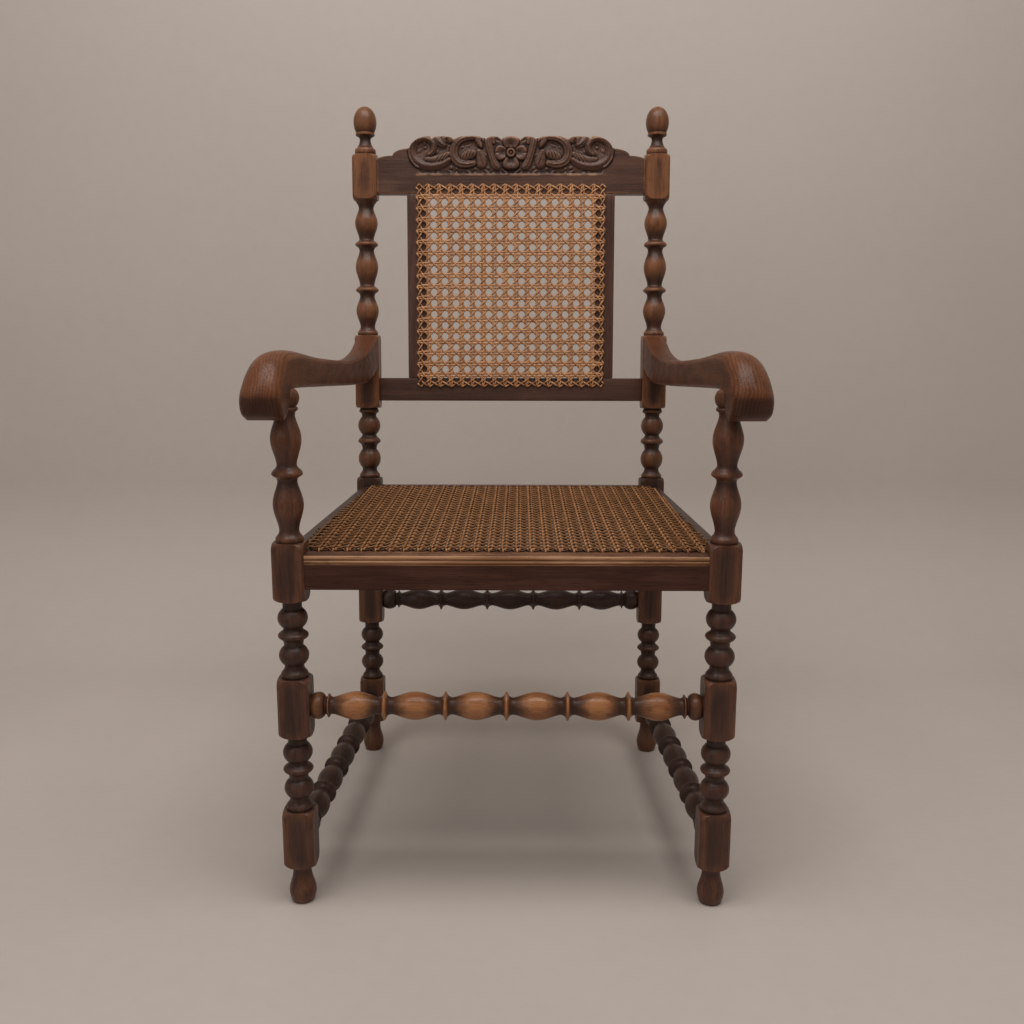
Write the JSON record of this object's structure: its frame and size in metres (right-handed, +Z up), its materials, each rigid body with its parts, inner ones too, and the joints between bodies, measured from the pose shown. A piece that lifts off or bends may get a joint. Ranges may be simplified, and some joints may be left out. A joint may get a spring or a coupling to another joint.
{
  "type": "library armchair",
  "caption": "Open armchair of turned stained oak with a woven cane seat and back, sawn arms ending in scrolls, a carved crest rail and turned stretchers.",
  "frame": {"origin": "on the floor, under the middle of the chair's bounding box", "axes": "+Z up; the chair faces -Y; +X is on the right hand of someone looking at its front"},
  "size_m": [0.598, 0.6272, 1.0565],
  "materials": {
    "oak_posts": "dark stained oak, waxed",
    "oak_arms": "stained oak, polished by hands",
    "oak_rails": "dark stained oak, satin",
    "oak_crest": "dark stained carved oak",
    "oak_front_stretcher": "stained oak worn by shoes",
    "oak_dowels": "plain oak",
    "cane_back": "woven rattan cane, satin",
    "cane_seat": "woven rattan cane, darkened"
  },
  "bodies": {
    "root": {"front_leg_left": "oak_posts", "front_leg_right": "oak_posts", "rear_post_left": "oak_posts", "rear_post_right": "oak_posts", "arm_left": "oak_arms", "arm_right": "oak_arms", "arm_dowel_left": "oak_dowels", "arm_dowel_right": "oak_dowels", "seat_rail_front": "oak_rails", "seat_rail_rear": "oak_rails", "seat_rail_left": "oak_rails", "seat_rail_right": "oak_rails", "seat_cane": "cane_seat", "crest_rail": "oak_crest", "back_rail_lower": "oak_rails", "back_stile_left": "oak_rails", "back_stile_right": "oak_rails", "back_cane": "cane_back", "stretcher_front": "oak_front_stretcher", "stretcher_rear": "oak_posts", "stretcher_side_left": "oak_posts", "stretcher_side_right": "oak_posts"}
  },
  "joints": []
}
